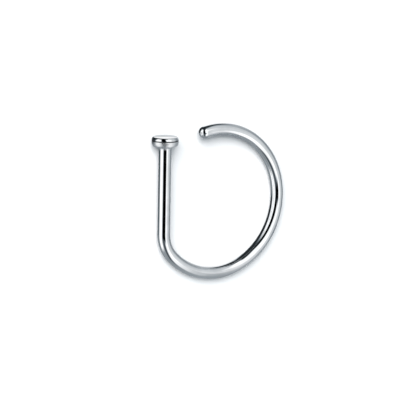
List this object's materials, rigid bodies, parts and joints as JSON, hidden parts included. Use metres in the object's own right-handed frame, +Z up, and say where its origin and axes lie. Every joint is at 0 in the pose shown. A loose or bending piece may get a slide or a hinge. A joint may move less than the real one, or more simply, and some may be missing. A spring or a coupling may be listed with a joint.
{
  "type": "nose ring",
  "caption": "D-shaped open nose hoop of round polished steel wire, with a flat round disc on the straight end and a rounded tip.",
  "frame": {"origin": "middle of the footprint of the hoop's box, on the surface that the hoop lies on", "axes": "+Z up, the hoop lying on its side; +Y along the post towards the disc; +X from the post across the loop"},
  "size_m": [0.01, 0.0102, 0.0017],
  "materials": {
    "steel": "mirror-polished surgical steel"
  },
  "bodies": {
    "root": {"nose_hoop": "steel"}
  },
  "joints": []
}
